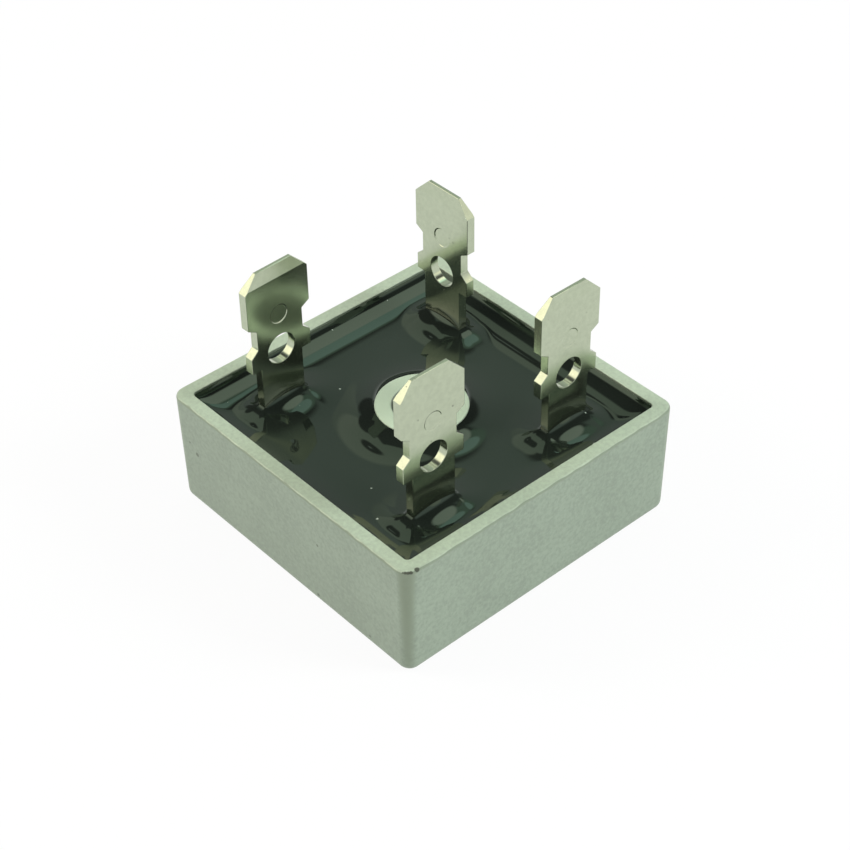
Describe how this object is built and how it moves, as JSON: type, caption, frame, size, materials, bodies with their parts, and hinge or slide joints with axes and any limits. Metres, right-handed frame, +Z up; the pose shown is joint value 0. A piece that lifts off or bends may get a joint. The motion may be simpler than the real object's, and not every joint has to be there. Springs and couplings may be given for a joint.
{
  "type": "bridge rectifier",
  "caption": "Bridge rectifier in a square metal case filled with black resin, with a centre screw hole and upright blade terminals.",
  "frame": {"origin": "centre of the case's bottom face, on the screw hole's axis", "axes": "+Z up out of the case's open top, along the screw hole; X and Y along the case's sides; the positive terminal stands in the +X +Y corner, turned a quarter turn"},
  "size_m": [0.0286, 0.0286, 0.0229],
  "materials": {
    "case_metal": "satin",
    "potting_resin": "gloss",
    "terminal_plating": "polished",
    "ceramic_plate": "matte",
    "copper": "satin",
    "silicon": "satin",
    "solder": "satin"
  },
  "bodies": {
    "root": {"case": "case_metal", "insulating_plate": "ceramic_plate", "ac_plate_left": "copper", "ac_plate_right": "copper", "positive_strap": "copper", "negative_strap": "copper", "silicon_die_1": "silicon", "silicon_die_2": "silicon", "silicon_die_3": "silicon", "silicon_die_4": "silicon", "die_lower_solder_1": "solder", "die_lower_solder_2": "solder", "die_lower_solder_3": "solder", "die_lower_solder_4": "solder", "die_upper_solder_1": "solder", "die_upper_solder_2": "solder", "die_upper_solder_3": "solder", "die_upper_solder_4": "solder", "ac_terminal_left": "terminal_plating", "ac_terminal_right": "terminal_plating", "positive_terminal": "terminal_plating", "negative_terminal": "terminal_plating", "terminal_solder_1": "solder", "terminal_solder_2": "solder", "terminal_solder_3": "solder", "terminal_solder_4": "solder", "potting_compound": "potting_resin"}
  },
  "joints": []
}
